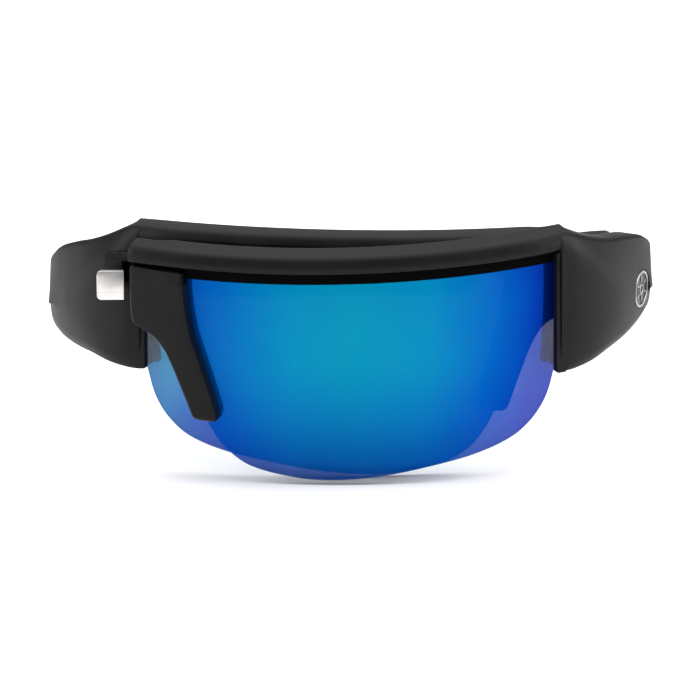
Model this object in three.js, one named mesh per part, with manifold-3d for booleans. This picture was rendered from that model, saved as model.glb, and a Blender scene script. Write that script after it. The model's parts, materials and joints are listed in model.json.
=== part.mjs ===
// Wraparound sport sunglasses that nest: each half carries one lens, one nose arm and one temple,
// and the left half slides along a curved rail on the right half. Modelled nested, temples folded.
// Millimetres, +X to the wearer's left, +Y backwards, +Z up. Each half is drawn in its own frame:
// x runs from the nose end (negative) to the temple end, y goes back, z = 0 is the top of the brow.
import * as THREE from 'three';
import { mergeVertices } from 'three/addons/utils/BufferGeometryUtils.js';
import Module from 'manifold-3d';

const wasm = await Module();
wasm.setup();

// Driving dimensions
const ARC_RADIUS = 77; // wrap radius of brow and lens, seen from above
const NOSE_END = -38; // x of the brow's nose end
const BROW_END = 33; // x where the brow starts to turn into the end piece
const BROW_RISE = 0.022; // rise of the brow per mm towards the temple
const LENS_DEPTH = 3; // lens front behind the brow front
const LENS_THICKNESS = 1.6;
const LENS_TOP = -4.6;
const LENS_SAG = 360; // the lens bottom tucks in by (z + 8)^2 / LENS_SAG
const GAP = 0.3; // clearance between touching pieces
const HINGE = { x: 45.6, y: 34.9, turn: THREE.MathUtils.degToRad(68) };
const KNUCKLE_RADIUS = 1.9;
const PIN_RADIUS = 0.75;
const PIN_HOLE = 0.9;
const TEMPLE_LENGTH = 67;
const FOLD_TURN = THREE.MathUtils.degToRad(112);
const PITCH = THREE.MathUtils.degToRad(5); // each half leans this much, one forward, one back
const RIGHT_OFFSET = [0, 12.12, 0.847]; // the right half nests behind the left one

// Materials
const finish = (color, roughness, metalness) =>
  new THREE.MeshStandardMaterial({ color, roughness, metalness });
const BLACK = () => finish(0x1b1c1d, 0.55, 0);
const RUBBER = () => finish(0x141415, 0.9, 0);
const MIRROR_BLUE = () => finish(0x0b4fb4, 0.12, 0.6);
const STEEL = () => finish(0x9a9da1, 0.35, 1);
const SILVER = () => finish(0xc9cbce, 0.25, 1);

// Geometry helpers
function solidGeometry(positions, indices) {
  const geometry = new THREE.BufferGeometry();
  geometry.setAttribute('position', new THREE.Float32BufferAttribute(positions, 3));
  geometry.setIndex(indices);
  const at = (i) => new THREE.Vector3().fromArray(positions, 3 * i);
  let volume = 0;
  for (let i = 0; i < indices.length; i += 3) {
    volume += at(indices[i]).dot(at(indices[i + 1]).cross(at(indices[i + 2])));
  }
  if (volume < 0) {
    for (let i = 0; i < indices.length; i += 3) {
      [indices[i], indices[i + 1]] = [indices[i + 1], indices[i]];
    }
    geometry.setIndex(indices);
  }
  return geometry;
}

// A solid through closed sections: each station has points [a, b] and a function placing them.
function loft(stations) {
  const count = stations[0].points.length;
  const positions = [];
  const indices = [];
  for (const station of stations) {
    for (const point of station.points) {
      positions.push(...station.place(point));
    }
  }
  for (let i = 0; i < stations.length - 1; i += 1) {
    for (let j = 0; j < count; j += 1) {
      const a = i * count + j;
      const b = i * count + ((j + 1) % count);
      indices.push(a, b, b + count, a, b + count, a + count);
    }
  }
  const cap = (points) => THREE.ShapeUtils.triangulateShape(
    points.map(([a, b]) => new THREE.Vector2(a, b)), []);
  for (const [a, b, c] of cap(stations[0].points)) {
    indices.push(c, b, a);
  }
  const last = (stations.length - 1) * count;
  for (const [a, b, c] of cap(stations[stations.length - 1].points)) {
    indices.push(last + a, last + b, last + c);
  }
  return solidGeometry(positions, indices);
}

// A plate between two grids of points, front(u, v) and back(u, v), u and v from 0 to 1.
function plate(columns, rows, front, back) {
  const positions = [];
  const indices = [];
  const wide = columns + 1;
  const layer = wide * (rows + 1);
  for (const side of [front, back]) {
    for (let j = 0; j <= rows; j += 1) {
      for (let i = 0; i <= columns; i += 1) {
        positions.push(...side(i / columns, j / rows));
      }
    }
  }
  for (let j = 0; j < rows; j += 1) {
    for (let i = 0; i < columns; i += 1) {
      const a = j * wide + i;
      indices.push(a, a + 1, a + wide + 1, a, a + wide + 1, a + wide);
      indices.push(layer + a, layer + a + wide + 1, layer + a + 1);
      indices.push(layer + a, layer + a + wide, layer + a + wide + 1);
    }
  }
  const border = [];
  for (let i = 0; i < columns; i += 1) border.push(i);
  for (let j = 0; j < rows; j += 1) border.push(j * wide + columns);
  for (let i = columns; i > 0; i -= 1) border.push(rows * wide + i);
  for (let j = rows; j > 0; j -= 1) border.push(j * wide);
  border.forEach((a, k) => {
    const b = border[(k + 1) % border.length];
    indices.push(b, a, layer + a, b, layer + a, layer + b);
  });
  return solidGeometry(positions, indices);
}

function toManifold(geometry) {
  const bare = geometry.clone();
  bare.deleteAttribute('normal');
  bare.deleteAttribute('uv');
  const merged = mergeVertices(bare, 1e-4);
  return new wasm.Manifold(new wasm.Mesh({
    numProp: 3,
    vertProperties: new Float32Array(merged.attributes.position.array),
    triVerts: new Uint32Array(merged.index.array),
  }));
}

function fromManifold(solid) {
  const mesh = solid.getMesh();
  const geometry = new THREE.BufferGeometry();
  geometry.setAttribute('position', new THREE.BufferAttribute(mesh.vertProperties, 3));
  geometry.setIndex(new THREE.BufferAttribute(mesh.triVerts, 1));
  return geometry;
}

function combine(base, { add = [], cut = [] }) {
  let solid = toManifold(base);
  for (const geometry of add) solid = solid.add(toManifold(geometry));
  for (const geometry of cut) solid = solid.subtract(toManifold(geometry));
  return fromManifold(solid);
}

// A box from its low and high corners.
function block(low, high) {
  const size = high.map((value, k) => value - low[k]);
  const middle = high.map((value, k) => (value + low[k]) / 2);
  return new THREE.BoxGeometry(...size).translate(...middle);
}

// An upright round bar between two heights.
function post(x, y, low, high, radius, sides = 20) {
  return new THREE.CylinderGeometry(radius, radius, high - low, sides)
    .rotateX(Math.PI / 2)
    .translate(x, y, (low + high) / 2);
}

// A countersunk-looking screw: wide head and thin shank along Y, head towards -Y.
function screwGeometry(headRadius, shankRadius, headHeight, length) {
  const profile = [[0, 0], [headRadius, 0], [headRadius, headHeight], [shankRadius, headHeight],
    [shankRadius, length], [0, length]].map(([r, h]) => new THREE.Vector2(r, h));
  return new THREE.LatheGeometry(profile, 16);
}

// The point on the wrap arc at x, moved inwards by depth.
function onArc(x, depth, z) {
  const turn = Math.asin(x / ARC_RADIUS);
  const y = ARC_RADIUS - Math.sqrt(ARC_RADIUS ** 2 - x ** 2);
  return [x - depth * Math.sin(turn), y + depth * Math.cos(turn), z];
}

const sag = (z) => ((z + 8) ** 2) / LENS_SAG;

// Frame: brow bar with a lens groove, running into the tall end piece.
const BROW_SECTION = [[0.7, -0.8], [0, -2.6], [0.4, -3.6], [2.2, -3.7], [2.2, -6], [2.7, -6],
  [2.7, -4.2], [4.9, -4.2], [4.9, -6], [5.4, -6], [5.5, -2.8], [4.9, 0]];

// x and depth factor: the brow slims towards its nose end, which leaves room for the slide shoe
const NOSE_TAPER = [[NOSE_END, 0.76], [-34.5, 0.78], [-31.6, 1]];

// The last brow section, cut square so that the lens's temple edge fits beside the end piece
const BROW_STOP = { x: 35.95, y: 9.25, turn: THREE.MathUtils.degToRad(3) };

// x, y, turn in degrees, top, bottom and thickness along the end piece
const END_PIECE = [[36.2, 9.35, 3, 0.8, -25.2, 5.3], [39, 10.8, 34, 0, -25.1, 5.4],
  [42.4, 13.7, 45, -1.9, -24.6, 6], [45.6, 17.7, 55, -3.6, -23.7, 6.1],
  [48.4, 22.6, 63, -4.8, -23.2, 6.1], [50.8, 27.9, 67, -6.4, -22.5, 6],
  [52.4, 31.9, 68, -8.6, -21.4, 6]];

function endPieceSection(top, bottom, thick) {
  return [[0.9, top], [0, top - 2], [-0.3, top - 5], [0, bottom + 4], [0.5, bottom + 1.5],
    [1.4, bottom], [2.4, bottom], [thick - 1.5, bottom], [thick - 0.6, bottom + 0.8],
    [thick, bottom + 2.5], [thick, top - 2], [thick - 0.8, top]];
}

const turnedPlace = (x, y, turn) => ([depth, z]) =>
  [x - depth * Math.sin(turn), y + depth * Math.cos(turn), z];

function frameGeometry(withBadgeSeat) {
  const stations = [];
  const browStart = -28;
  const browSteps = 14;
  const browStations = [...NOSE_TAPER];
  for (let i = 0; i <= browSteps; i += 1) {
    browStations.push([browStart + ((BROW_END - browStart) * i) / browSteps, 1]);
  }
  for (const [x, slim] of browStations) {
    stations.push({
      points: BROW_SECTION,
      place: ([depth, z]) => onArc(x, depth * slim, z + BROW_RISE * x),
    });
  }
  const lift = BROW_RISE * BROW_STOP.x;
  stations.push({
    points: BROW_SECTION.map(([depth, z]) => [depth, z + lift]),
    place: turnedPlace(BROW_STOP.x, BROW_STOP.y, BROW_STOP.turn),
  });
  for (const [x, y, degrees, top, bottom, thick] of END_PIECE) {
    stations.push({
      points: endPieceSection(top, bottom, thick),
      place: turnedPlace(x, y, THREE.MathUtils.degToRad(degrees)),
    });
  }
  const cut = [post(HINGE.x, HINGE.y, BLOCK.low - GAP, BLOCK.high + GAP, KNUCKLE_RADIUS + GAP, 24)];
  if (withBadgeSeat) {
    cut.push(inHingeFrame(badgeDisc(BADGE.radius + GAP, BADGE.seat, 3)));
  }
  return combine(loft(stations), { cut });
}

// Lens: bottom edge from the nose side to the temple side, as [x, z].
const LENS_EDGE = [[-31, -9], [-30.6, -16], [-28.6, -24], [-27, -30], [-25.7, -34], [-22.6, -38.3],
  [-18.5, -41], [-9.9, -42.8], [-2.8, -43.1], [5.5, -42.5], [14.4, -41.1], [23.4, -39.3],
  [29.9, -36.9], [33.4, -33.9], [35.6, -30.1], [36.8, -25]];

const lensCurve = new THREE.CatmullRomCurve3(
  LENS_EDGE.map(([x, z]) => new THREE.Vector3(x, 0, z)), false, 'centripetal');

function lensGeometry(columns, rows, grow) {
  const face = (depth) => (u, v) => {
    const low = lensCurve.getPoint(u);
    const x = low.x * (1 + grow * 0.035);
    const top = LENS_TOP + grow + BROW_RISE * x;
    const bottom = low.z - grow;
    const z = top + (bottom - top) * v;
    return onArc(x, LENS_DEPTH + depth + sag(z), z);
  };
  return plate(columns, rows, face(-grow * 0.8), face(LENS_THICKNESS + grow * 0.8));
}

// Nose arm: left and right edges per height, as [z, left, right].
const ARM_EDGES = [[-6.3, -38, -28.6], [-10, -38, -28.4], [-12.3, -38, -28.2],
  [-15.2, -37.7, -27.7], [-16.1, -35.6, -27.6], [-17.3, -33.7, -27.4], [-19.6, -32.2, -26.6],
  [-22.5, -31, -25.8], [-27.6, -29.3, -24.4], [-32.3, -27.8, -23.3]];

function edgeAt(table, z, column) {
  let i = 0;
  while (i < table.length - 2 && table[i + 1][0] > z) i += 1;
  const [z0, z1] = [table[i][0], table[i + 1][0]];
  const t = (z - z0) / (z1 - z0);
  return table[i][column] + (table[i + 1][column] - table[i][column]) * t;
}

function armPlate(front, back, inset, low, high, rows) {
  const face = (depth, shrink) => (u, v) => {
    const z = high + (low - high) * v;
    const left = edgeAt(ARM_EDGES, z, 1) + inset + shrink;
    const right = edgeAt(ARM_EDGES, z, 2) - inset - shrink;
    const x = left + (right - left) * u;
    const lift = BROW_RISE * x * (1 - v);
    return onArc(x, depth + sag(z), z + lift);
  };
  return plate(4, rows, face(front, 0.5), face(back, 0));
}

const noseArmGeometry = () =>
  combine(armPlate(0.4, 5.8, 0, -32.3, -6.3, 14), { cut: [lensGeometry(28, 10, 0.3)] });
const nosePadGeometry = () => armPlate(7.2, 6.1, 0.5, -27.5, -17, 6);

// The hinge frame: origin on the hinge axis, X along the open temple, -Y outwards.
function inHingeFrame(geometry) {
  return geometry.rotateZ(HINGE.turn).translate(HINGE.x, HINGE.y, 0);
}

const BADGE = { along: -5.4, height: -16, radius: 3.3, seat: -6.6 };

// A flat disc facing outwards on the end piece, its back at the given hinge-frame y.
function badgeDisc(radius, back, thickness) {
  return new THREE.CylinderGeometry(radius, radius, thickness, 32)
    .translate(BADGE.along, back - thickness / 2, 0)
    .translate(0, 0, BADGE.height);
}

const badgeGeometry = () => inHingeFrame(badgeDisc(BADGE.radius, BADGE.seat - GAP, 0.5));

// Heights of the hinge block and, between its ears, of the temple's knuckle
const BLOCK = { low: -18.6, high: -10.6 };
const KNUCKLE = { low: -15.8, high: -13.4 };

function hingeBlockGeometry() {
  const strap = block([-9, -1.1, BLOCK.low], [0, 0.2, BLOCK.high]);
  const barrel = post(0, 0, BLOCK.low, BLOCK.high, KNUCKLE_RADIUS);
  const room = post(0, 0, KNUCKLE.low - GAP, KNUCKLE.high + GAP, KNUCKLE_RADIUS + GAP, 24);
  const hole = post(0, 0, -25, -5, PIN_HOLE);
  return inHingeFrame(combine(strap, { add: [barrel], cut: [room, hole] }));
}

function hingePinGeometry() {
  const shank = post(0, 0, BLOCK.low - GAP, BLOCK.high + 0.6, PIN_RADIUS);
  const head = post(0, 0, BLOCK.high + GAP, BLOCK.high + 1, 1.5);
  return inHingeFrame(combine(shank, { add: [head] }));
}

// Temple pieces, drawn open in the hinge frame about the axis.
const SCREW_ALONG = 8.5;
const MIDDLE = (KNUCKLE.low + KNUCKLE.high) / 2;

function templeKnuckleGeometry() {
  const barrel = post(0, 0, KNUCKLE.low, KNUCKLE.high, KNUCKLE_RADIUS);
  const leaf = block([0, -1.6, KNUCKLE.low], [12, -0.5, KNUCKLE.high]);
  const screwHole = new THREE.CylinderGeometry(0.8, 0.8, 4, 16).translate(SCREW_ALONG, -1, MIDDLE);
  return combine(barrel, { add: [leaf], cut: [post(0, 0, -25, -5, PIN_HOLE), screwHole] });
}

function barSection(outer, inner, top, bottom, soften) {
  return [[outer, top - soften], [outer, bottom + soften], [outer + soften, bottom],
    [inner - soften, bottom], [inner, bottom + soften], [inner, top - soften],
    [inner - soften, top], [outer + soften, top]];
}

// Distance along the temple, outer face, inner face, top, bottom, edge softening
const TEMPLE_BAR = [[0.4, -7.2, -1.9, -10, -19.6, 0.8], [4, -7.2, -1.95, -10.2, -19.2, 0.8],
  [9, -7.2, -2.1, -10.8, -18.6, 0.8], [15, -7.2, -3, -11.3, -18, 0.8], [20, -7.2, -3.9, -11.6, -17.6, 0.7],
  [40.4, -7.2, -4.3, -11.6, -17.6, 0.7], [40.7, -6.4, -5.1, -12.9, -16.3, 0.3],
  [61, -6.4, -5.1, -12.9, -16.3, 0.3]];
const SLEEVE_BAR = [[40.9, -7.3, -4.2, -11.6, -17.6, 0.6], [50, -7.4, -4.1, -11.6, -17.6, 0.8],
  [62, -7.4, -4.1, -11.6, -17.6, 0.9], [65.6, -7.1, -4.4, -12, -17.2, 0.9],
  [TEMPLE_LENGTH, -6.4, -5, -13, -16.2, 0.5]];

function alongTemple(table) {
  return loft(table.map(([along, ...size]) => ({
    points: barSection(...size),
    place: ([y, z]) => [along, y, z],
  })));
}

const templeArmGeometry = () => alongTemple(TEMPLE_BAR);
const templeSleeveGeometry = () => combine(alongTemple(SLEEVE_BAR),
  { cut: [block([40, -6.7, -16.6], [61.5, -4.8, -12.6])] });
const templeScrewGeometry = () =>
  screwGeometry(1.1, 0.5, 0.4, 2).rotateX(Math.PI).translate(SCREW_ALONG, 0.2, MIDDLE);

// Sliding parts, drawn in the right half's frame.
const RAIL = { top: -4.7, bottom: -5.9 };

function arcStrip(x0, x1, front, back, bottom, top, columns) {
  const face = (depth) => (u, v) => {
    const x = x0 + (x1 - x0) * u;
    return onArc(x, depth, top + (bottom - top) * v);
  };
  return plate(columns, 1, face(front), face(back));
}

const slideRailGeometry = () => arcStrip(-37, 34, 1, 1.45, RAIL.bottom, RAIL.top, 16);

function slideShoeGeometry() {
  const [low, high] = [RAIL.bottom - 0.2, RAIL.top + 0.15];
  const bridge = arcStrip(26, 41.5, -1.3, -0.35, low, high, 8);
  const tab = arcStrip(38.2, 41.5, -1.3, -0.35, LINK.bottom + 1.5, high, 3);
  const runner = arcStrip(26, 33.5, -0.6, 0.7, low, high, 6);
  return combine(bridge, { add: [runner, tab] });
}

// The link arm and its bar stand in front of the shoe, just past the left half's nose end.
const LINK = { x0: 38.9, x1: 42.6, front: 4.9, back: 8.9, top: -6.9, bottom: -11.6 };

function linkArmGeometry() {
  return block([LINK.x0, LINK.front, LINK.bottom], [LINK.x1, LINK.back, LINK.top]);
}

function linkBarGeometry() {
  const corner = 0.7;
  const [low, high] = [[LINK.x0 - 0.3, -11.8], [LINK.x1 + 0.6, -6.8]];
  const outline = new THREE.Shape();
  outline.moveTo(low[0], low[1]);
  outline.lineTo(high[0] - corner, low[1]);
  outline.quadraticCurveTo(high[0], low[1], high[0], low[1] + corner);
  outline.lineTo(high[0], high[1] - corner);
  outline.quadraticCurveTo(high[0], high[1], high[0] - corner, high[1]);
  outline.lineTo(low[0], high[1]);
  outline.closePath();
  const depth = 1.5;
  return new THREE.ExtrudeGeometry(outline, { depth, bevelEnabled: false, curveSegments: 6 })
    .rotateX(Math.PI / 2)
    .translate(0, LINK.front - GAP, 0);
}

// Assembly
function part(name, geometry, material, parent) {
  const mesh = new THREE.Mesh(geometry, material);
  mesh.name = name;
  parent.add(mesh);
  return mesh;
}

function addTemple(side, parent) {
  const temple = new THREE.Group();
  temple.position.set(HINGE.x, HINGE.y, 0);
  temple.rotation.z = HINGE.turn + FOLD_TURN;
  parent.add(temple);
  part(`${side}_temple_arm`, templeArmGeometry(), BLACK(), temple);
  part(`${side}_temple_sleeve`, templeSleeveGeometry(), RUBBER(), temple);
  part(`${side}_temple_knuckle`, templeKnuckleGeometry(), STEEL(), temple);
  part(`${side}_temple_screw`, templeScrewGeometry(), STEEL(), temple);
}

function addHalf(side, parent) {
  part(`${side}_frame`, frameGeometry(side === 'left'), BLACK(), parent);
  part(`${side}_lens`, lensGeometry(28, 10, 0), MIRROR_BLUE(), parent);
  part(`${side}_nose_arm`, noseArmGeometry(), BLACK(), parent);
  part(`${side}_nose_pad`, nosePadGeometry(), RUBBER(), parent);
  part(`${side}_hinge_block`, hingeBlockGeometry(), STEEL(), parent);
  part(`${side}_hinge_pin`, hingePinGeometry(), STEEL(), parent);
  addTemple(side, parent);
}

const sunglasses = new THREE.Group();

const leftHalf = new THREE.Group();
leftHalf.rotation.x = PITCH;
addHalf('left', leftHalf);
part('left_badge', badgeGeometry(), SILVER(), leftHalf);
sunglasses.add(leftHalf);

const rightHalf = new THREE.Group();
rightHalf.position.set(...RIGHT_OFFSET);
rightHalf.rotation.x = -PITCH;
const mirrored = new THREE.Group();
mirrored.scale.x = -1;
rightHalf.add(mirrored);
addHalf('right', mirrored);
part('slide_rail', slideRailGeometry(), STEEL(), mirrored);
part('slide_shoe', slideShoeGeometry(), BLACK(), mirrored);
part('link_arm', linkArmGeometry(), BLACK(), mirrored);
part('link_bar', linkBarGeometry(), SILVER(), mirrored);
sunglasses.add(rightHalf);

// Stand the assembly on z = 0 with its box centred on the origin.
sunglasses.updateMatrixWorld(true);
const bounds = new THREE.Box3().setFromObject(sunglasses, true);
const centre = bounds.getCenter(new THREE.Vector3());
sunglasses.position.set(-centre.x, -centre.y, -bounds.min.z);

export default sunglasses;
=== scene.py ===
"""Nesting wraparound sunglasses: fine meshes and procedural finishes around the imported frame."""
import json
import math

import bmesh
import bpy
from mathutils import Matrix, Vector


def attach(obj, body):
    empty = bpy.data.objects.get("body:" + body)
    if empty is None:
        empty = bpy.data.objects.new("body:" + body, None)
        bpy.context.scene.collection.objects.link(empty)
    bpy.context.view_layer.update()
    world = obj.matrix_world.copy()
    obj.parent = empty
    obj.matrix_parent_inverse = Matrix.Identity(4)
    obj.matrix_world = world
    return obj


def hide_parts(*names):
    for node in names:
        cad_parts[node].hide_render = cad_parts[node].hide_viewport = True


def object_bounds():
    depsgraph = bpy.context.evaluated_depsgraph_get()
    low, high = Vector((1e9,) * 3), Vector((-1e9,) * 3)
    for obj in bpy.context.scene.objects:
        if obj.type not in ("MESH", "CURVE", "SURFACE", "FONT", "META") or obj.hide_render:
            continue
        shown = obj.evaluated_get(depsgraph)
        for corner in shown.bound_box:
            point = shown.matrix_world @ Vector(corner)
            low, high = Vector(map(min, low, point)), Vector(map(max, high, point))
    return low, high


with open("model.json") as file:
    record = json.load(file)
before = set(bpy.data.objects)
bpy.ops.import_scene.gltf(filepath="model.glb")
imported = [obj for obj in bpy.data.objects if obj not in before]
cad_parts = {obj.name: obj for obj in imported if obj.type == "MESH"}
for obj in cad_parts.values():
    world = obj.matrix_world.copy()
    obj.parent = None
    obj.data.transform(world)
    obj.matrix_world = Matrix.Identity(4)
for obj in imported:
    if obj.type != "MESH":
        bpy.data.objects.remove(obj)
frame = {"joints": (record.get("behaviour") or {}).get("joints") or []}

CAD_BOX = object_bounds()

# Millimetres in a half's own frame: x runs from the nose end to the temple end, y goes back,
# z = 0 is the top of the brow. The right half is the mirror image of the left one.
MM = 0.001
PITCH = math.radians(5)
ARC_RADIUS = 77.0
BROW_RISE = 0.022
LENS_DEPTH = 3.0
LENS_THICKNESS = 1.6
LENS_TOP = -4.6
LENS_SAG = 360.0
GAP = 0.3
HINGE = Vector((45.6, 34.9, -14.6))
HINGE_TURN = math.radians(68)
FOLD_TURN = math.radians(112)
BADGE_ALONG = -5.4
BADGE_HEIGHT = -16.0
BADGE_RADIUS = 3.3
BADGE_SEAT = -6.6
SCREW_ALONG = 8.5
KNUCKLE_RADIUS = 1.9
BLOCK_LOW, BLOCK_HIGH = -18.6, -10.6
KNUCKLE_LOW, KNUCKLE_HIGH = -15.8, -13.4
BODIES = {"left": "left_half", "right": "right_half"}
SIDES = ("left", "right")


# ---------------------------------------------------------------- placement

def joint(name):
    return next(entry for entry in frame["joints"] if entry["name"] == name)


def half_placement(side):
    """Takes millimetres in a half's own frame to metres in the row frame."""
    lean = PITCH if side == "left" else -PITCH
    turn = Matrix.Rotation(lean, 4, "X")
    if side == "right":
        turn = turn @ Matrix.Scale(-1, 4, (1, 0, 0))
    scaled = turn @ Matrix.Scale(MM, 4)
    hinge = Vector(joint(f"{side}_temple_hinge")["pos_m"])
    return Matrix.Translation(hinge - scaled @ HINGE) @ scaled


def hinge_placement(side):
    """The hinge's frame on a half: X along the open temple, -Y outwards."""
    spin = Matrix.Rotation(HINGE_TURN, 4, "Z")
    return half_placement(side) @ Matrix.Translation((HINGE.x, HINGE.y, 0)) @ spin


def temple_placement(side):
    """The folded temple's frame, X along the temple from the hinge."""
    return hinge_placement(side) @ Matrix.Rotation(FOLD_TURN, 4, "Z")


# ---------------------------------------------------------------- shape helpers

def on_arc(x, depth, z):
    """The point at x on the wrap arc, moved inwards by depth."""
    turn = math.asin(x / ARC_RADIUS)
    y = ARC_RADIUS - math.sqrt(ARC_RADIUS ** 2 - x ** 2)
    return (x - depth * math.sin(turn), y + depth * math.cos(turn), z)


def sag(z):
    return (z + 8) ** 2 / LENS_SAG


def mix(a, b, t):
    return a + (b - a) * t


def smooth_rows(rows, count):
    """Rows of numbers, resampled along a smooth curve through them."""
    knots = [0.0]
    for one, two in zip(rows, rows[1:]):
        step = math.dist(one[:2], two[:2])
        knots.append(knots[-1] + max(step, 1e-3))
    slopes = []
    for i in range(len(rows)):
        low, high = max(i - 1, 0), min(i + 1, len(rows) - 1)
        span = knots[high] - knots[low]
        slopes.append([(b - a) / span for a, b in zip(rows[low], rows[high])])
    made = []
    for k in range(count + 1):
        s = knots[-1] * k / count
        i = max(j for j in range(len(knots) - 1) if knots[j] <= s)
        h = knots[i + 1] - knots[i]
        t = (s - knots[i]) / h
        terms = (2 * t ** 3 - 3 * t ** 2 + 1, (t ** 3 - 2 * t ** 2 + t) * h,
                 3 * t ** 2 - 2 * t ** 3, (t ** 3 - t ** 2) * h)
        made.append([terms[0] * a + terms[1] * m + terms[2] * b + terms[3] * n
                     for a, m, b, n in zip(rows[i], slopes[i], rows[i + 1], slopes[i + 1])])
    return made


def rounded(corners, radii, steps=4):
    """A closed outline with each corner replaced by a small curve."""
    count = len(corners)
    outline = []
    for i, corner in enumerate(corners):
        here = Vector(corner)
        to_before = Vector(corners[i - 1]) - here
        to_after = Vector(corners[(i + 1) % count]) - here
        reach = min(radii[i], to_before.length * 0.46, to_after.length * 0.46)
        start = here + to_before.normalized() * reach
        end = here + to_after.normalized() * reach
        for k in range(steps + 1):
            t = k / steps
            outline.append(tuple(start * (1 - t) ** 2 + here * 2 * t * (1 - t) + end * t ** 2))
    return outline


def shrunk(points, inset):
    """An outline drawn in towards its middle by about inset."""
    middle = sum((Vector(p) for p in points), Vector((0, 0))) / len(points)
    reach = max((Vector(p) - middle).length for p in points)
    near = min((Vector(p) - middle).length for p in points)
    size = max(near, reach * 0.25)
    return [tuple(middle + (Vector(p) - middle) * (1 - min(inset / size, 0.6) *
                                                    min(1.0, size / (Vector(p) - middle).length)))
            for p in points]


def loft(rings):
    """Points and faces of a solid through closed rings of the same count."""
    points = [point for ring in rings for point in ring]
    count = len(rings[0])
    faces = []
    for i in range(len(rings) - 1):
        for j in range(count):
            a = i * count + j
            b = i * count + (j + 1) % count
            faces.append((a, b, b + count, a + count))
    faces.append(tuple(range(count))[::-1])
    faces.append(tuple(range((len(rings) - 1) * count, len(rings) * count)))
    return points, faces


def lathe(profile, sides=48):
    """A solid of revolution about Z from (radius, height) pairs, closed at both ends."""
    rings = []
    for radius, height in profile:
        rings.append([(radius * math.cos(math.tau * k / sides),
                       radius * math.sin(math.tau * k / sides), height) for k in range(sides)])
    return loft(rings)


def round_bar(radius, low, high, edge=0.2, sides=48):
    """An upright round bar with rounded ends."""
    profile = [(radius - edge, low), (radius - edge * 0.3, low + edge * 0.3), (radius, low + edge),
               (radius, high - edge), (radius - edge * 0.3, high - edge * 0.3),
               (radius - edge, high)]
    return lathe(profile, sides)


def box_outline(low, high, radius):
    corners = [(low[0], low[1]), (high[0], low[1]), (high[0], high[1]), (low[0], high[1])]
    return rounded(corners, [radius] * 4, 5)


def soft_box(low, high, edge, corner=None):
    """A box with rounded edges, lofted upwards."""
    corner = corner or edge
    rings = []
    for inset, z in ((edge, low[2]), (edge * 0.3, low[2] + edge * 0.3), (0, low[2] + edge),
                     (0, high[2] - edge), (edge * 0.3, high[2] - edge * 0.3), (edge, high[2])):
        outline = box_outline((low[0] + inset, low[1] + inset), (high[0] - inset, high[1] - inset),
                              corner)
        rings.append([(x, y, z) for x, y in outline])
    return loft(rings)


def mesh_object(name, shape, place, smooth_angle=35):
    """A new object from points and faces, with its normals outwards."""
    points, faces = shape
    mesh = bpy.data.meshes.new(name)
    mesh.from_pydata([place @ Vector(p) for p in points], [], faces)
    work = bmesh.new()
    work.from_mesh(mesh)
    bmesh.ops.recalc_face_normals(work, faces=work.faces)
    work.to_mesh(mesh)
    work.free()
    obj = bpy.data.objects.new(name, mesh)
    bpy.context.scene.collection.objects.link(obj)
    shade(obj, smooth_angle)
    return obj


def shade(obj, smooth_angle):
    obj.data.shade_smooth()
    obj.data.set_sharp_from_angle(angle=math.radians(smooth_angle))


def combine(base, operation, tools, smooth_angle=35):
    """Cuts tools from base, or joins them to it, and leaves a plain mesh."""
    for tool in tools:
        step = base.modifiers.new("step", "BOOLEAN")
        step.operation = operation
        step.solver = "EXACT"
        step.object = tool
    bpy.context.view_layer.update()
    graph = bpy.context.evaluated_depsgraph_get()
    mesh = bpy.data.meshes.new_from_object(base.evaluated_get(graph))
    base.modifiers.clear()
    base.data = mesh
    for tool in tools:
        bpy.data.objects.remove(tool)
    shade(base, smooth_angle)
    return base


def finish_piece(obj, body, slot, material, *stands_for):
    obj.data.materials.clear()
    obj.data.materials.append(material)
    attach(obj, body)
    if stands_for:
        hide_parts(*stands_for)
    return obj


# ---------------------------------------------------------------- materials

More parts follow.
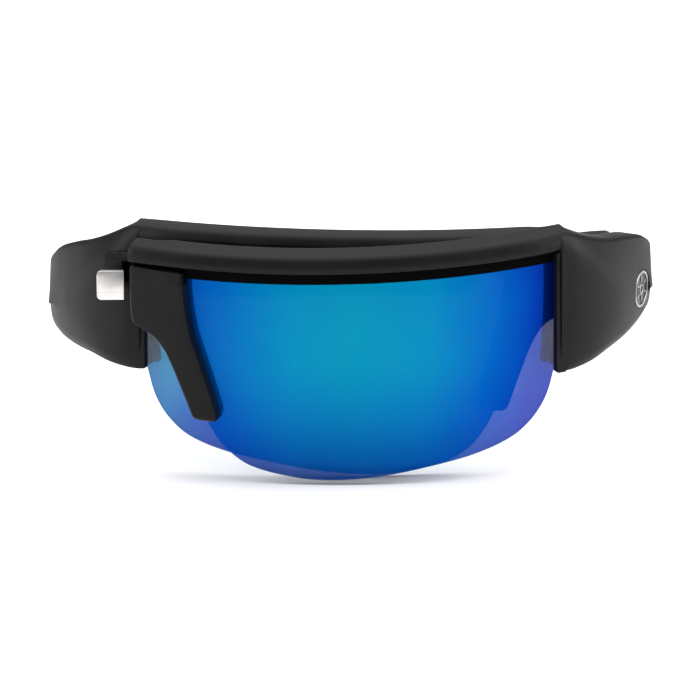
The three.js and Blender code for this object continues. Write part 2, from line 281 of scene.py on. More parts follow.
class Nodes:
    """A material's node tree, with short calls to add to it."""

    def __init__(self, name):
        self.material = bpy.data.materials.new(name)
        self.material.use_nodes = True
        self.tree = self.material.node_tree
        self.shader = self.tree.nodes["Principled BSDF"]
        self.place = self.add("ShaderNodeTexCoord")

    def add(self, kind, **settings):
        node = self.tree.nodes.new(kind)
        for key, value in settings.items():
            setattr(node, key, value)
        return node

    def link(self, source, target):
        self.tree.links.new(source, target)

    def stretched(self, scale):
        node = self.add("ShaderNodeMapping")
        node.inputs["Scale"].default_value = scale
        self.link(self.place.outputs["Object"], node.inputs["Vector"])
        return node.outputs["Vector"]

    def noise(self, scale, detail=2.0, roughness=0.5, vector=None):
        node = self.add("ShaderNodeTexNoise")
        node.inputs["Scale"].default_value = scale
        node.inputs["Detail"].default_value = detail
        node.inputs["Roughness"].default_value = roughness
        self.link(vector or self.place.outputs["Object"], node.inputs["Vector"])
        return node.outputs["Fac"]

    def ramp(self, source, stops, smooth=True):
        node = self.add("ShaderNodeValToRGB")
        node.color_ramp.interpolation = "EASE" if smooth else "LINEAR"
        elements = node.color_ramp.elements
        while len(elements) < len(stops):
            elements.new(0.5)
        for element, (position, colour) in zip(elements, stops):
            element.position = position
            element.color = (*colour, 1) if len(colour) == 3 else colour
        self.link(source, node.inputs["Fac"])
        return node.outputs["Color"]

    def spread(self, source, low, high):
        """Maps 0.3 to 0.7, where noise lives, onto low to high."""
        node = self.add("ShaderNodeMapRange")
        for key, value in (("From Min", 0.3), ("From Max", 0.7), ("To Min", low), ("To Max", high)):
            node.inputs[key].default_value = value
        self.link(source, node.inputs["Value"])
        return node.outputs["Result"]

    def blend(self, kind, factor, one, two):
        node = self.add("ShaderNodeMix", data_type="RGBA", blend_type=kind)
        for socket, value in (("Factor", factor), ("A", one), ("B", two)):
            target = next(s for s in node.inputs if s.name == socket and s.enabled)
            if isinstance(value, bpy.types.NodeSocket):
                self.link(value, target)
            elif socket == "Factor":
                target.default_value = value
            else:
                target.default_value = (*value, 1)
        return next(s for s in node.outputs if s.enabled)

    def math(self, operation, one, two):
        node = self.add("ShaderNodeMath", operation=operation)
        for target, value in zip(node.inputs, (one, two)):
            if isinstance(value, bpy.types.NodeSocket):
                self.link(value, target)
            else:
                target.default_value = value
        return node.outputs["Value"]

    def bump(self, height, strength, distance):
        node = self.add("ShaderNodeBump")
        node.inputs["Strength"].default_value = strength
        node.inputs["Distance"].default_value = distance
        self.link(height, node.inputs["Height"])
        return node.outputs["Normal"]

    def set(self, **values):
        for key, value in values.items():
            self.shader.inputs[key.replace("_", " ")].default_value = value


def moulded_plastic(name, dark, light, roughness, level):
    """Satin moulded nylon: a fine spark-eroded grain and faint flow marks."""
    nodes = Nodes(name)
    grains = nodes.noise(5200, 3.0, 0.6)
    flow = nodes.noise(95, 3.0, 0.55)
    colour = nodes.ramp(flow, [(0.3, dark), (0.7, light)])
    nodes.link(colour, nodes.shader.inputs["Base Color"])
    nodes.link(nodes.spread(flow, roughness - 0.05, roughness + 0.05),
               nodes.shader.inputs["Roughness"])
    nodes.link(nodes.bump(grains, 0.12, 0.00004), nodes.shader.inputs["Normal"])
    nodes.set(Specular_IOR_Level=level)
    return nodes.material


def brushed_metal(name, dark, light, roughness, scale):
    """Metal with fine lines along X."""
    nodes = Nodes(name)
    lines = nodes.noise(1.0, 3.0, 0.65, nodes.stretched(scale))
    clouds = nodes.noise(260, 2.0)
    colour = nodes.ramp(lines, [(0.3, dark), (0.7, light)])
    nodes.link(colour, nodes.shader.inputs["Base Color"])
    nodes.link(nodes.spread(clouds, roughness - 0.06, roughness + 0.08),
               nodes.shader.inputs["Roughness"])
    nodes.link(nodes.bump(lines, 0.1, 0.00002), nodes.shader.inputs["Normal"])
    nodes.set(Metallic=1.0)
    return nodes.material


def mirror_lens(name, nose_first, end_green):
    """A part-clear mirror coating with painted light: the teal middle and blue sides are a painted colour
    shift that stands for the coating's change with viewing angle, and the navy bottom is a painted
    reflection of the shaded floor.
    """
    nodes = Nodes(name)
    split = nodes.add("ShaderNodeSeparateXYZ")
    nodes.link(nodes.place.outputs["Generated"], split.inputs["Vector"])
    across = split.outputs["X"]
    if not nose_first:
        across = nodes.math("SUBTRACT", 1.0, across)
    clouds = nodes.spread(nodes.noise(38, 2.0), -0.02, 0.02)
    across = nodes.math("ADD", across, clouds)
    height = nodes.math("ADD", split.outputs["Z"], clouds)
    # Painted reflection across the lens: teal in the middle and deeper blue towards both ends, standing
    # for the coating's colour change with viewing angle.
    side = nodes.ramp(across, [(0.0, (0, 0.060, 0.39)), (0.12, (0, 0.112, 0.395)),
                               (0.30, (0, 0.208, 0.384)), (0.46, (0, 0.222, 0.366)),
                               (0.66, (0, 0.198, 0.384)), (0.82, (0, 0.102, 0.395)),
                               (0.93, (0, end_green * 1.6, 0.33)), (1.0, (0, end_green, 0.29))],
                      smooth=False)
    # Painted reflection up the lens: navy at the bottom where the shaded floor is mirrored, brightest a
    # little above the middle.
    painted_reflection_by_height = nodes.ramp(height, [(0.0, (0, 0.18, 0.60)), (0.04, (0, 0.25, 0.74)),
                               (0.10, (0, 0.46, 0.98)), (0.28, (0, 0.77, 1.10)),
                               (0.41, (0, 0.93, 1.08)), (0.52, (0, 1.04, 1.05)),
                               (0.72, (0, 1.0, 1.0)), (1.0, (0, 0.88, 0.97))], smooth=False)
    colour = nodes.blend("MULTIPLY", 1.0, side, painted_reflection_by_height)
    nodes.link(colour, nodes.shader.inputs["Base Color"])
    nodes.link(nodes.spread(nodes.noise(600, 2.0), 0.05, 0.10), nodes.shader.inputs["Roughness"])
    nodes.set(Metallic=0.6, Alpha=0.78, Specular_IOR_Level=0.02, IOR=1.58)
    return nodes.material


def soft_rubber(name):
    """Matt elastomer with a fine, dusty grain."""
    nodes = Nodes(name)
    dust = nodes.noise(900, 4.0, 0.6)
    colour = nodes.ramp(dust, [(0.3, (0.012, 0.012, 0.013)), (0.75, (0.024, 0.024, 0.026))])
    nodes.link(colour, nodes.shader.inputs["Base Color"])
    nodes.link(nodes.spread(dust, 0.72, 0.86), nodes.shader.inputs["Roughness"])
    nodes.link(nodes.bump(nodes.noise(3600, 3.0), 0.25, 0.00006), nodes.shader.inputs["Normal"])
    nodes.set(Specular_IOR_Level=0.35)
    return nodes.material


BLACK = moulded_plastic("satin_black_nylon", (0.003, 0.003, 0.0033), (0.005, 0.005, 0.0054), 0.42, 0.12)
# Painted shade: a darker, duller copy of the black plastic for the step above the lens, where shade
# falls.
PAINTED_SHADE_BLACK = moulded_plastic("recess_painted_shade", (0.0006, 0.0006, 0.0007), (0.001, 0.001, 0.0011), 0.7, 0.02)
BADGE_BLACK = moulded_plastic("badge_black", (0.004, 0.004, 0.0045), (0.007, 0.007, 0.008), 0.3, 0.4)
RUBBER = soft_rubber("soft_rubber_black")
STEEL = brushed_metal("brushed_steel", (0.36, 0.37, 0.39), (0.52, 0.53, 0.55), 0.34,
                      (120, 4200, 4200))
SILVER = brushed_metal("bright_brushed_alloy", (0.60, 0.585, 0.57), (0.72, 0.70, 0.685), 0.30,
                       (160, 5200, 5200))
RING = brushed_metal("badge_ring_alloy", (0.22, 0.22, 0.225), (0.30, 0.30, 0.305), 0.3,
                     (900, 900, 900))
# Both lenses carry the painted colour shift and the painted floor reflection; the last number sets the
# green at the temple end.
LENS = {"left": mirror_lens("mirror_coating_painted_reflection_left", True, 0.022),
        "right": mirror_lens("mirror_coating_painted_reflection_right", False, 0.11)}


# ---------------------------------------------------------------- brow and end piece

BROW_SECTION = [(0.7, -0.8), (0, -2.6), (0.4, -3.6), (2.2, -3.7), (2.2, -6), (2.7, -6),
                (2.7, -4.2), (4.9, -4.2), (4.9, -6), (5.4, -6), (5.5, -2.8), (4.9, 0)]
BROW_RADII = [0.7, 0.45, 0.4, 0.25, 0.2, 0.2, 0.15, 0.15, 0.2, 0.2, 0.8, 0.7]
END_RADII = [0.9, 1.3, 3.0, 3.0, 0.9, 0.5, 0.8, 0.9, 0.9, 1.5, 1.6, 1.0]
BROW_END = 33.0
# x and depth factor: the brow slims towards its nose end
NOSE_TAPER = [(-38.0, 0.76), (-34.5, 0.78), (-31.6, 1.0), (-28.0, 1.0)]
# The last brow section, cut square beside the lens: x, y, turn in degrees
BROW_STOP = (35.95, 9.25, 3.0)
# x, y, turn in degrees, top, bottom, thickness, then the upper facet's drop, depth and front fall
END_PIECE = [(36.2, 9.35, 3, 0.8, -25.2, 5.5, 2.6, 0.7, 0.8),
             (39, 10.8, 34, 0, -25.1, 5.5, 2.9, 1.1, 0.5),
             (42.4, 13.7, 45, -1.9, -24.6, 6, 3.7, 1.2, 0.2),
             (45.6, 17.7, 55, -3.6, -23.7, 6.1, 6.0, 1.0, 0),
             (48.4, 22.6, 63, -4.8, -23.2, 6.1, 7.6, 0.8, 0),
             (50.8, 27.9, 67, -6.4, -22.5, 6, 7.4, 0.5, 0),
             (52.4, 31.9, 68, -8.6, -21.4, 6, 6, 0.4, 0)]
# How the inner wall drops beside the lens: shares of the way from the brow to the end piece
WALL_SHARES = (0.008, 0.03, 0.07, 0.13, 0.3, 0.6, 0.85)
# x from and to, depth from and to, bottom, top and edge of the lip in front of the lens's outer edge
WALL_LIP = (35.6, 37.4, 0.5, 1.8, -24.9, -3.0, 0.25)
# Depth and height below the brow's top of the step above the lens that gets painted shade, and where it
# ends
STEP_DEPTH = (0.9, 2.35)
STEP_HEIGHT = (-6.2, -3.45)
STEP_END = 35.4


def end_section(top, bottom, thick, drop, slant, fall):
    crease = top - drop
    return [(slant, top - fall), (0, crease), (-0.3, crease - 2.6), (0, bottom + 4.6),
            (0.45, bottom + 1.5), (1.3, bottom), (2.4, bottom), (thick - 1.5, bottom),
            (thick - 0.6, bottom + 0.8), (thick, bottom + 2.5), (thick, top - 2), (thick - 0.8, top)]


def arc_station(x, corners, radii):
    outline = rounded(corners, radii)
    return lambda inset: [on_arc(x, depth, z) for depth, z in shrunk(outline, inset)]


def turned_station(x, y, degrees, corners, radii):
    turn = math.radians(degrees)
    outline = rounded(corners, radii)
    return lambda inset: [(x - depth * math.sin(turn), y + depth * math.cos(turn), z)
                          for depth, z in shrunk(outline, inset)]


def slim_at(x):
    if x >= NOSE_TAPER[2][0]:
        return 1.0
    for (x0, s0), (x1, s1) in zip(NOSE_TAPER, NOSE_TAPER[1:]):
        if x <= x1:
            t = (x - x0) / (x1 - x0)
            return mix(s0, s1, t * t * (3 - 2 * t))
    return 1.0


def brow_corners(x):
    return [(depth * slim_at(x), z + BROW_RISE * x) for depth, z in BROW_SECTION]


def end_station(row):
    x, y, degrees, *size = row
    return turned_station(x, y, degrees, end_section(*size), END_RADII)


def wall_rings():
    """From the brow's last section down to the full height of the end piece."""
    x0, y0, degrees = BROW_STOP
    low = brow_corners(x0)
    rings = [turned_station(x0, y0, degrees, low, BROW_RADII)(0)]
    x1, y1, _, *size = END_PIECE[0]
    tall = end_section(*size)
    for share in WALL_SHARES:
        corners = [(mix(a[0], b[0], share), mix(a[1], b[1], share)) for a, b in zip(low, tall)]
        radii = [mix(a, b, share) for a, b in zip(BROW_RADII, END_RADII)]
        rings.append(turned_station(mix(x0, x1, share), mix(y0, y1, share), degrees, corners, radii)(0))
    return rings


def frame_shape():
    first, last = NOSE_TAPER[0][0], BROW_END
    rings = []
    for step_in, inset in ((0, 0.45), (0.12, 0.13)):
        x = first + step_in
        rings.append(arc_station(x, brow_corners(x), BROW_RADII)(inset))
    steps = 84
    for i in range(steps + 1):
        x = mix(first + 0.4, last, i / steps)
        rings.append(arc_station(x, brow_corners(x), BROW_RADII)(0))
    rings += wall_rings()
    stations = smooth_rows(END_PIECE, 40)
    rings += [end_station(row)(0) for row in stations[:-1]]
    rings.append(end_station(stations[-1])(0.18))
    x, y, degrees, *size = stations[-1]
    turn = math.radians(degrees)
    rings.append(end_station((x + 0.25 * math.cos(turn), y + 0.25 * math.sin(turn), degrees, *size))(0.6))
    return loft(rings)


def badge_disc(radius, back, front, edge):
    """A disc on the end piece facing outwards (-Y in the hinge frame)."""
    points, faces = round_bar(radius, -back, -front, edge, 64)
    return [(BADGE_ALONG + x, -z, BADGE_HEIGHT + y) for x, y, z in points], faces


def paint_recess_shade(obj, half):
    """Paints shade onto the step above the lens: its faces get a near-black, dull copy of the plastic
    where shade falls.
    """
    obj.data.materials.append(PAINTED_SHADE_BLACK)
    to_half = half.inverted()
    for face in obj.data.polygons:
        here = to_half @ face.center
        depth = ARC_RADIUS - math.hypot(here.x, here.y - ARC_RADIUS)
        below = here.z - BROW_RISE * here.x
        gets_painted_shade = STEP_DEPTH[0] < depth < STEP_DEPTH[1] and STEP_HEIGHT[0] < below < STEP_HEIGHT[1]
        if gets_painted_shade and here.x < STEP_END:
            face.material_index = 1


def add_frame(side):
    half = half_placement(side)
    hinge = hinge_placement(side)
    body = mesh_object(f"{side}_brow_and_end_piece", frame_shape(), half, 42)
    room = round_bar(KNUCKLE_RADIUS + GAP, BLOCK_LOW - GAP, BLOCK_HIGH + GAP, 0.05, 40)
    combine(body, "UNION", [mesh_object("lip", arc_bar(*WALL_LIP, 6), half)], 42)
    tools = [mesh_object("room", room, hinge)]
    if side == "left":
        seat = badge_disc(BADGE_RADIUS + 0.12, BADGE_SEAT, BADGE_SEAT - 4, 0.02)
        tools.append(mesh_object("seat", seat, hinge))
    combine(body, "DIFFERENCE", tools, 42)
    finish_piece(body, BODIES[side], "frame_black", BLACK, f"{side}_frame")
    # Paints shade onto the step above the lens.
    paint_recess_shade(body, half)


# ---------------------------------------------------------------- lens

LENS_EDGE = [(-31, -9), (-30.6, -16), (-28.6, -24), (-27, -30), (-25.7, -34), (-22.6, -38.3),
             (-18.5, -41), (-9.9, -42.8), (-2.8, -43.1), (5.5, -42.5), (14.4, -41.1), (23.4, -39.3),
             (29.9, -36.9), (33.4, -33.9), (35.6, -30.1), (36.8, -25)]


RIM_REACH = 0.08  # how far the rim stands out below the edge line
# Share of the thickness and how far the rim stands out there
RIM = ((0.12, 0.096), (0.32, 0.156), (0.68, 0.156), (0.88, 0.096))
RIM_LIFT = 0.4  # the rim stands out less upwards and downwards
LENS_COLUMNS, LENS_ROWS = 110, 56
LENS_MIDDLE = Vector((2.0, -22.0))


def lens_shape():
    """The lens as a curved sheet with a half-round rim."""
    columns, rows = LENS_COLUMNS, LENS_ROWS
    edge = smooth_rows(LENS_EDGE, columns)
    front = []
    for j in range(rows + 1):
        v = j / rows
        for x, low in edge:
            top = LENS_TOP + BROW_RISE * x
            front.append((x, mix(top, low + RIM_REACH, v)))
    wide = columns + 1
    border = list(range(columns))
    border += [j * wide + columns for j in range(rows)]
    border += [rows * wide + i for i in range(columns, 0, -1)]
    border += [j * wide for j in range(rows, 0, -1)]
    points, faces = [], []

    def layer(depth):
        base = len(points)
        points.extend(on_arc(x, LENS_DEPTH + depth + sag(z), z) for x, z in front)
        return base

    near = layer(0.0)
    far = layer(LENS_THICKNESS)
    for j in range(rows):
        for i in range(columns):
            a = j * wide + i
            faces.append((near + a, near + a + 1, near + a + wide + 1, near + a + wide))
            faces.append((far + a + wide, far + a + wide + 1, far + a + 1, far + a))
    loops = [[near + a for a in border]]
    for share, out in RIM:
        depth = LENS_DEPTH + share * LENS_THICKNESS
        loop = []
        for a in border:
            x, z = front[a]
            away = (Vector((x, z)) - LENS_MIDDLE).normalized() * out
            loop.append(len(points))
            points.append(on_arc(x + away.x, depth + sag(z), z + away.y * RIM_LIFT))
        loops.append(loop)
    loops.append([far + a for a in border])
    for one, two in zip(loops, loops[1:]):
        for k in range(len(border)):
            n = (k + 1) % len(border)
            faces.append((one[n], one[k], two[k], two[n]))
    return points, faces


def add_lens(side):
    obj = mesh_object(f"{side}_mirror_lens", lens_shape(), half_placement(side), 50)
    finish_piece(obj, BODIES[side], "mirror_lens", LENS[side], f"{side}_lens")


# ---------------------------------------------------------------- nose arm and pad

# z, left edge, right edge of the nose arm
ARM_EDGES = [(-6.3, -38, -28.6), (-10, -38, -28.4), (-12.3, -38, -28.2), (-15.2, -37.7, -27.7),
             (-16.1, -35.6, -27.6), (-17.3, -33.7, -27.4), (-19.6, -32.2, -26.6), (-22.5, -31, -25.8),
             (-27.6, -29.3, -24.4), (-32.3, -27.8, -23.3)]
ARM_TOP, ARM_BOTTOM = -6.3, -32.3
# x from and to, depth from and to, bottom, top and edge of the lip in front of the brow's step
ARM_LIP = (-37.8, -28.9, 0.55, 1.9, -8.0, -5.2, 0.25)
ARM_FRONT, ARM_BACK = 0.4, 5.8


def lens_side(z):
    """x of the lens's nose-side edge at a height."""
    for (x0, z0), (x1, z1) in zip(LENS_EDGE, LENS_EDGE[1:]):
        if z1 <= z <= z0:
            return mix(x0, x1, (z - z0) / (z1 - z0))
    return LENS_EDGE[0][0]


def edge_at(z, column):
    rows = ARM_EDGES
    i = 0
    while i < len(rows) - 2 and rows[i + 1][0] > z:
        i += 1
    t = (z - rows[i][0]) / (rows[i + 1][0] - rows[i][0])
    return mix(rows[i][column], rows[i + 1][column], t)


def softened_edge(z, column, reach):
    heights = [min(max(z + d * reach, ARM_BOTTOM), ARM_TOP) for d in (-1, -0.5, 0, 0.5, 1)]
    return sum(edge_at(height, column) for height in heights) / len(heights)


def arm_ring(z, inset):
    left = softened_edge(z, 1, 0.6)
    right = softened_edge(z, 2, 1.5)
    slot = lens_side(z) - GAP
    slot = min(max(slot, left + 0.9), right - 1.2)
    near, far = LENS_DEPTH - GAP, LENS_DEPTH + LENS_THICKNESS + GAP
    corners = [(left, ARM_FRONT + 0.2), (right - 0.25, ARM_FRONT), (right, near), (slot, near),
               (slot, far), (right, far), (right, ARM_BACK), (left, ARM_BACK)]
    radii = [0.7, 0.55, 0.3, 0.15, 0.15, 0.3, 0.4, 1.0]
    outline = shrunk(rounded(corners, radii), inset)
    lift = BROW_RISE * mix(left, right, 0.5) * (z - ARM_BOTTOM) / (ARM_TOP - ARM_BOTTOM)
    return [on_arc(x, depth + sag(z), z + lift) for x, depth in outline]


def arm_shape():
    top, bottom = ARM_TOP, ARM_BOTTOM
    rings = [arm_ring(top, 0.5), arm_ring(top - 0.12, 0.18), arm_ring(top - 0.45, 0)]
    steps = 64
    for i in range(1, steps):
        rings.append(arm_ring(mix(top - 0.45, bottom + 0.8, i / steps), 0))
    rings += [arm_ring(bottom + 0.8, 0), arm_ring(bottom + 0.3, 0.25), arm_ring(bottom, 0.8)]
    return loft(rings)


def pad_shape():
    """A soft pad with a crowned face behind the nose arm."""
    rings = []
    steps = 30
    for i in range(steps + 1):
        t = i / steps
        z = mix(-17, -27.5, t)
        left, right = softened_edge(z, 1, 1) + 0.5, softened_edge(z, 2, 1) - 0.5
        fill = max(0.12, math.sin(math.pi * mix(0.03, 0.97, t)) ** 0.35)
        ring = []
        for k in range(28):
            angle = math.tau * k / 28
            across = math.copysign(abs(math.cos(angle)) ** 0.7, math.cos(angle))
            proud = math.copysign(abs(math.sin(angle)) ** 0.8, math.sin(angle))
            x = mix(left, right, 0.5 + 0.5 * across * fill)
            depth = 6.1 + (0.55 + 0.55 * proud * fill)
            ring.append(on_arc(x, depth + sag(z), z))
        rings.append(ring)
    return loft(rings)


def add_nose(side):
    half = half_placement(side)
    arm = mesh_object(f"{side}_nose_bridge_arm", arm_shape(), half, 40)
    if side == "left":
        combine(arm, "UNION", [mesh_object("lip", arc_bar(*ARM_LIP, 24), half)], 40)
    finish_piece(arm, BODIES[side], "frame_black", BLACK, f"{side}_nose_arm")
    pad = mesh_object(f"{side}_soft_nose_pad", pad_shape(), half, 60)
    finish_piece(pad, BODIES[side], "soft_rubber", RUBBER, f"{side}_nose_pad")


# ---------------------------------------------------------------- hinge and temple

def add_hinge(side):
    hinge = hinge_placement(side)
    leaf = soft_box((-9, -1.1, BLOCK_LOW), (0, 0.2, BLOCK_HIGH), 0.18, 0.3)
    strap = mesh_object(f"{side}_hinge_leaf", leaf, hinge)
    barrel = mesh_object("barrel", round_bar(KNUCKLE_RADIUS, BLOCK_LOW, BLOCK_HIGH, 0.18), hinge)
    combine(strap, "UNION", [barrel], 30)
    room = round_bar(KNUCKLE_RADIUS + GAP, KNUCKLE_LOW - GAP, KNUCKLE_HIGH + GAP, 0.03)
    room = mesh_object("room", room, hinge)
    hole = mesh_object("hole", round_bar(0.9, -25, -5, 0.03), hinge)
    combine(strap, "DIFFERENCE", [room, hole], 30)
    finish_piece(strap, BODIES[side], "steel", STEEL, f"{side}_hinge_block")
    head = BLOCK_HIGH + GAP
    pin = lathe([(0.45, BLOCK_LOW - 0.3), (0.66, BLOCK_LOW - 0.2), (0.75, BLOCK_LOW), (0.75, head),
                 (1.3, head), (1.5, head + 0.15), (1.5, head + 0.45), (1.3, head + 0.65),
                 (1.15, head + 0.7), (0.6, head + 0.7), (0.55, head + 0.55), (0.5, head + 0.35),
                 (0.3, head + 0.35)])
    obj = mesh_object(f"{side}_hinge_screw", pin, hinge, 30)
    finish_piece(obj, BODIES[side], "steel", STEEL, f"{side}_hinge_pin")


def bar_outline(outer, inner, top, bottom, soften):
    corners = [(outer, top), (outer, bottom), (inner, bottom), (inner, top)]
    return rounded(corners, [min(soften * 1.8, 2.4)] * 4, 6)


# Along the temple, outer face, inner face, top, bottom, edge softening
TEMPLE_BAR = [(0.4, -7.2, -1.9, -10, -19.6, 0.8), (4, -7.2, -1.95, -10.2, -19.2, 0.8),
              (9, -7.2, -2.1, -10.8, -18.6, 0.8), (15, -7.2, -3, -11.3, -18, 0.8),
              (20, -7.2, -3.9, -11.6, -17.6, 0.7), (30, -7.2, -4.15, -11.6, -17.6, 0.7),
              (40.4, -7.2, -4.3, -11.6, -17.6, 0.7)]
SLEEVE_BAR = [(40.9, -7.3, -4.2, -11.6, -17.6, 0.8), (50, -7.4, -4.1, -11.6, -17.6, 0.9),
              (62, -7.4, -4.1, -11.6, -17.6, 0.9), (65.6, -7.1, -4.4, -12, -17.2, 0.9),
              (67, -6.4, -5, -13, -16.2, 0.5)]


def temple_rings(rows, count, ends, ribs=False):
    rings = []
    stations = smooth_rows(rows, count)
    for i, (along, outer, inner, top, bottom, soften) in enumerate(stations):
        dip = 0.0
        if ribs and 44.5 < along < 60.5:
            dip = 0.12 * (1 - math.cos(math.tau * (along - 44.5) / 2.0)) / 2
        outline = bar_outline(outer + dip, inner - dip, top - dip, bottom + dip, soften)
        edge = min(i, len(stations) - 1 - i)
        inset = {0: ends, 1: ends * 0.3}.get(edge, 0.0)
        rings.append([(along, y, z) for y, z in shrunk(outline, inset)])
    return rings


def temple_shape():
    rings = temple_rings(TEMPLE_BAR, 90, 0.3)
    core = bar_outline(-6.4, -5.1, -12.9, -16.3, 0.3)
    rings.append([(40.7, y, z) for y, z in core])
    rings.append([(61, y, z) for y, z in core])
    return loft(rings)


def add_temple(side):
    place = temple_placement(side)
    body = f"{side}_temple"
    bar = mesh_object(f"{side}_temple_bar", temple_shape(), place, 38)
    finish_piece(bar, body, "frame_black", BLACK, f"{side}_temple_arm")
    grip = mesh_object(f"{side}_temple_grip", loft(temple_rings(SLEEVE_BAR, 150, 0.3, True)),
                       place, 50)
    bore = mesh_object("bore", soft_box((40, -6.7, -16.6), (61.5, -4.8, -12.6), 0.1), place)
    combine(grip, "DIFFERENCE", [bore], 50)
    finish_piece(grip, body, "soft_rubber", RUBBER, f"{side}_temple_sleeve")
    knuckle = mesh_object(f"{side}_temple_hinge_knuckle",
                          round_bar(KNUCKLE_RADIUS, KNUCKLE_LOW, KNUCKLE_HIGH, 0.15), place)
    leaf = soft_box((0, -1.6, KNUCKLE_LOW), (12, -0.5, KNUCKLE_HIGH), 0.12, 0.12)
    leaf = mesh_object("leaf", leaf, place)
    combine(knuckle, "UNION", [leaf], 30)
    hole = mesh_object("hole", round_bar(0.9, -25, -5, 0.03), place)
    middle = Matrix.Translation((SCREW_ALONG, 0, (KNUCKLE_LOW + KNUCKLE_HIGH) / 2))
    across = place @ middle @ Matrix.Rotation(math.pi / 2, 4, "X")
    through = mesh_object("through", round_bar(0.8, -2, 4, 0.03, 32), across)
    combine(knuckle, "DIFFERENCE", [hole, through], 30)
    finish_piece(knuckle, body, "steel", STEEL, f"{side}_temple_knuckle")
    screw = lathe([(0.3, 1.75), (0.42, 1.8), (0.5, 1.7), (0.5, 0.2), (0.9, 0.2), (1.1, 0.12),
                   (1.1, -0.05), (0.98, -0.18), (0.85, -0.2), (0.45, -0.2), (0.4, -0.1),
                   (0.36, 0.05), (0.2, 0.05)], 40)
    obj = mesh_object(f"{side}_temple_leaf_screw", screw, across, 30)
    finish_piece(obj, body, "steel", STEEL, f"{side}_temple_screw")


# ---------------------------------------------------------------- badge

DISC_THICKNESS = 0.32
PATTERN_HEIGHTS = (0.3, 0.46)  # above the disc's back
SPOKES = 6


def ring_shape(outer, inner, back, front, sides=72):
    """A flat ring with softened edges, about Z."""
    edge = 0.05
    section = [(outer, back), (outer, front - edge), (outer - edge, front), (inner + edge, front),
               (inner, front - edge), (inner, back)]
    points, faces = [], []
    for k in range(sides):
        angle = math.tau * k / sides
        points += [(r * math.cos(angle), r * math.sin(angle), h) for r, h in section]
    count = len(section)
    for k in range(sides):
        n = (k + 1) % sides
        for j in range(count):
            m = (j + 1) % count
            faces.append((k * count + j, n * count + j, n * count + m, k * count + m))
    return points, faces


def joined(shapes):
    points, faces = [], []
    for more_points, more_faces in shapes:
        base = len(points)
        points += more_points
        faces += [tuple(base + i for i in face) for face in more_faces]
    return points, faces


def add_badge():
    hinge = hinge_placement("left")
    face = BADGE_SEAT - GAP
    disc = badge_disc(BADGE_RADIUS, face, face - DISC_THICKNESS, 0.06)
    disc = mesh_object("left_badge_disc", disc, hinge)
    finish_piece(disc, "left_half", "bright_metal", BADGE_BLACK, "left_badge")
    low, high = PATTERN_HEIGHTS
    spokes = []
    for k in range(SPOKES):
        turn = Matrix.Rotation(math.tau * k / SPOKES, 4, "Z")
        points, faces = soft_box((-0.14, 1.3, low), (0.14, 2.3, high), 0.03)
        spokes.append(([tuple(turn @ Vector(p)) for p in points], faces))
    rings = [ring_shape(3.24, 2.75, low, high + 0.04), ring_shape(0.92, 0.64, low, high, 48)]
    points, faces = joined(rings + spokes)
    points = [(BADGE_ALONG + x, face - z, BADGE_HEIGHT + y) for x, y, z in points]
    pattern = mesh_object("left_badge_pattern", (points, faces), hinge, 40)
    finish_piece(pattern, "left_half", "bright_metal", RING)


# ---------------------------------------------------------------- sliding parts

RAIL_TOP, RAIL_BOTTOM = -4.7, -5.9


def arc_bar(x0, x1, front, back, bottom, top, edge, columns):
    """A bar that follows the wrap arc."""
    rings = []
    outline = rounded([(front, top), (front, bottom), (back, bottom), (back, top)], [edge] * 4, 4)
    for i in range(columns + 1):
        inset = edge if i in (0, columns) else 0
        rings.append([on_arc(mix(x0, x1, i / columns), d, z) for d, z in shrunk(outline, inset)])
    return loft(rings)


def link_bar_shape():
    """The bright bar: a plate with one rounded end and softened front edges."""
    low, high = (38.6, -11.8), (43.2, -6.8)
    rings = []
    for inset, y in ((0.22, 3.1), (0.06, 3.16), (0, 3.34), (0, 4.5), (0.1, 4.6)):
        corners = [(low[0], low[1] + inset), (high[0] - inset, low[1] + inset),
                   (high[0] - inset, high[1] - inset), (low[0], high[1] - inset)]
        rings.append([(x, y, z) for x, z in rounded(corners, [0.05, 0.9, 0.9, 0.05], 8)])
    return loft(rings)


def add_slide():
    half = half_placement("right")
    rail = arc_bar(-37, 34, 1, 1.45, RAIL_BOTTOM, RAIL_TOP, 0.12, 90)
    rail = mesh_object("curved_slide_rail", rail, half)
    finish_piece(rail, "right_half", "steel", STEEL, "slide_rail")
    low, high = RAIL_BOTTOM - 0.2, RAIL_TOP + 0.15
    shoe = mesh_object("slide_shoe_block", arc_bar(26, 41.5, -1.3, -0.35, low, high, 0.2, 40), half)
    runner = mesh_object("runner", arc_bar(26, 33.5, -0.6, 0.7, low, high, 0.1, 40), half)
    tab = mesh_object("tab", arc_bar(38.2, 41.5, -1.3, -0.35, -10.1, high, 0.2, 12), half)
    combine(shoe, "UNION", [runner, tab], 30)
    finish_piece(shoe, "slide_carriage", "frame_black", BLACK, "slide_shoe")
    arm = mesh_object("link_arm_block", soft_box((38.9, 4.9, -11.6), (42.6, 8.9, -6.9), 0.35, 0.5),
                      half, 40)
    finish_piece(arm, "slide_carriage", "frame_black", BLACK, "link_arm")
    bar = mesh_object("link_bright_bar", link_bar_shape(), half, 30)
    finish_piece(bar, "slide_carriage", "bright_metal", SILVER, "link_bar")


for half_side in SIDES:
    add_frame(half_side)
    add_lens(half_side)
    add_nose(half_side)
    add_hinge(half_side)
    add_temple(half_side)
add_badge()
add_slide()


# ---------------------------------------------------------------- floor, light and camera

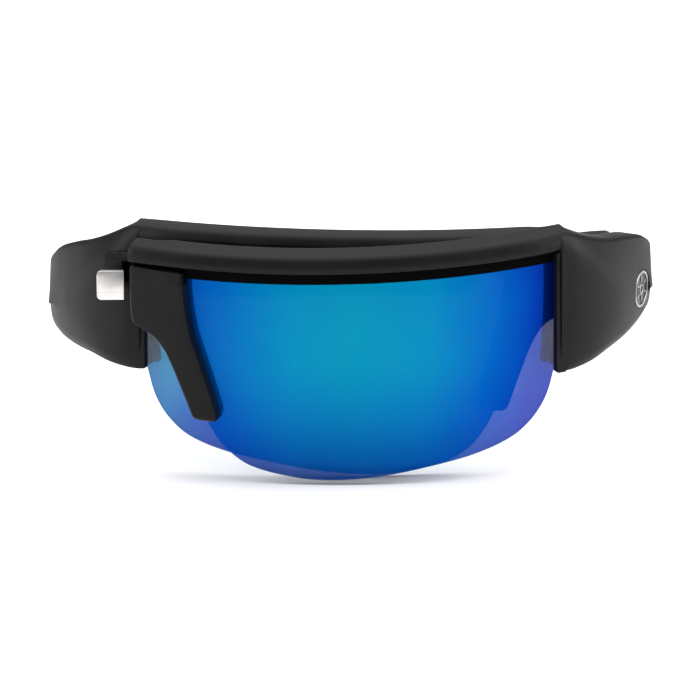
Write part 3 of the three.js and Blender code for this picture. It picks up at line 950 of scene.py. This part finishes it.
def add_floor():
    nodes = Nodes("pale_floor")
    shade_of = nodes.ramp(nodes.noise(6, 2.0), [(0.3, (0.86, 0.86, 0.86)), (0.7, (0.88, 0.88, 0.88))])
    nodes.link(shade_of, nodes.shader.inputs["Base Color"])
    nodes.set(Roughness=0.9, Specular_IOR_Level=0.1)
    size = 4.0
    mesh = bpy.data.meshes.new("floor")
    mesh.from_pydata([(-size, -size, 0), (size, -size, 0), (size, size, 0), (-size, size, 0)], [],
                     [(0, 1, 2, 3)])
    floor = bpy.data.objects.new("floor", mesh)
    floor.location.z = CAD_BOX[0].z - 0.0005
    mesh.materials.append(nodes.material)
    bpy.context.scene.collection.objects.link(floor)


def add_light(name, place, target, size, power):
    data = bpy.data.lights.new(name, "AREA")
    data.shape = "RECTANGLE"
    data.size, data.size_y = size
    data.energy = power
    lamp = bpy.data.objects.new(name, data)
    lamp.location = place
    lamp.rotation_euler = (Vector(target) - Vector(place)).to_track_quat("-Z", "Y").to_euler()
    lamp.visible_camera = False
    bpy.context.scene.collection.objects.link(lamp)


def add_world(colour, strength):
    world = bpy.data.worlds.new("studio")
    world.use_nodes = True
    sky = world.node_tree.nodes["Background"]
    sky.inputs["Color"].default_value = (*colour, 1)
    sky.inputs["Strength"].default_value = strength
    bpy.context.scene.world = world


def add_camera():
    data = bpy.data.cameras.new("camera")
    data.lens = 455
    data.sensor_width = 36
    data.clip_start, data.clip_end = 0.01, 20
    camera = bpy.data.objects.new("camera", data)
    brow_middle = half_placement("left") @ Vector((0, 4.9, 0))
    elevation, roll, distance = math.radians(15), math.radians(0.4), 1.5
    target = brow_middle + Vector((0, -0.0046, -0.017))
    back = Vector((0, -math.cos(elevation), math.sin(elevation)))
    look = (-back).to_track_quat("-Z", "Y").to_matrix().to_4x4()
    camera.matrix_world = (Matrix.Translation(target + back * distance) @ look
                           @ Matrix.Rotation(-roll, 4, "Z"))
    bpy.context.scene.collection.objects.link(camera)
    bpy.context.scene.camera = camera


add_floor()
add_world((1.0, 1.0, 1.0), 0.35)
centre = (CAD_BOX[0] + CAD_BOX[1]) / 2
add_light("overhead", (0, 0.1, 1.4), centre, (2.4, 2.4), 44)
add_light("behind", (0, 0.9, 0.45), centre, (1.6, 0.5), 1)
add_light("side_right", (0.9, -0.15, 0.35), centre, (0.6, 0.8), 11)
add_light("side_left", (-0.9, -0.15, 0.35), centre, (0.6, 0.8), 6.5)
add_camera()
bpy.context.scene.view_settings.view_transform = "Standard"
